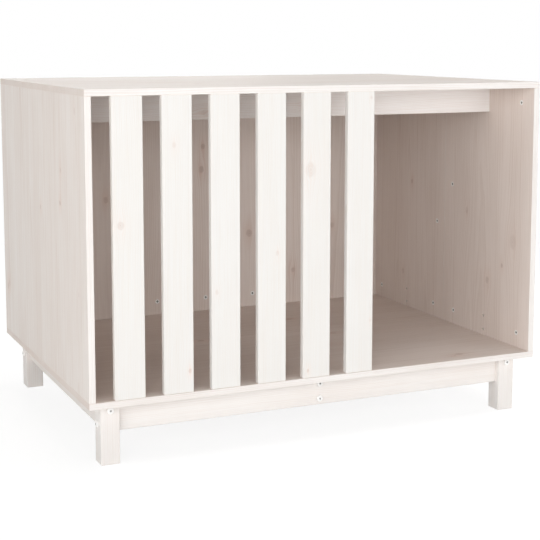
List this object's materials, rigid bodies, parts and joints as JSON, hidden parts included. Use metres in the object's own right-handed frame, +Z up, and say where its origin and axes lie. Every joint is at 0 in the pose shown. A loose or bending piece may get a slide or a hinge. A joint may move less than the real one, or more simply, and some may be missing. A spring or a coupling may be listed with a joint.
{
  "type": "dog house",
  "caption": "Indoor dog house of whitewashed pine boards: a box on a low leg frame, its front part upright slats and part open doorway.",
  "frame": {"origin": "on the floor, under the middle of the house", "axes": "+X along the width towards the doorway side, the front faces -Y, +Z up"},
  "size_m": [1, 0.7, 0.72],
  "materials": {
    "pine_panels": "white stain over visible grain and knots, satin",
    "pine_slats": "white stain over visible grain and knots, satin",
    "pine_battens": "white stain over visible grain, satin",
    "pine_frame": "white stain over visible grain, satin",
    "beech_dowels": "bare fluted beech",
    "cam_zinc": "cast zinc, satin",
    "cam_bolt_steel": "zinc plated",
    "white_bolts": "white lacquer on the heads",
    "nut_zinc": "zinc plated"
  },
  "bodies": {
    "root": {"top_board_front": "pine_panels", "top_board_back": "pine_panels", "floor_board_front": "pine_panels", "floor_board_back": "pine_panels", "left_side_board_front": "pine_panels", "left_side_board_back": "pine_panels", "right_side_board_front": "pine_panels", "right_side_board_back": "pine_panels", "back_board_left": "pine_panels", "back_board_middle": "pine_panels", "back_board_right": "pine_panels", "slat_1": "pine_slats", "slat_2": "pine_slats", "slat_3": "pine_slats", "slat_4": "pine_slats", "slat_5": "pine_slats", "slat_6": "pine_slats", "top_batten_front": "pine_battens", "top_batten_back": "pine_battens", "leg_front_left": "pine_frame", "leg_front_right": "pine_frame", "leg_back_left": "pine_frame", "leg_back_right": "pine_frame", "front_apron": "pine_frame", "back_apron": "pine_frame", "left_apron": "pine_frame", "right_apron": "pine_frame", "centre_rail": "pine_frame", "slat_dowels": "beech_dowels", "batten_dowels": "beech_dowels", "seam_dowels": "beech_dowels", "leg_dowels": "beech_dowels", "base_dowels": "beech_dowels", "cam_locks_sides": "cam_zinc", "cam_locks_back": "cam_zinc", "cam_bolts_sides": "cam_bolt_steel", "cam_bolts_back": "cam_bolt_steel", "leg_bolts": "white_bolts", "rail_bolts": "white_bolts", "leg_barrel_nuts": "nut_zinc", "rail_barrel_nuts": "nut_zinc"}
  },
  "joints": []
}
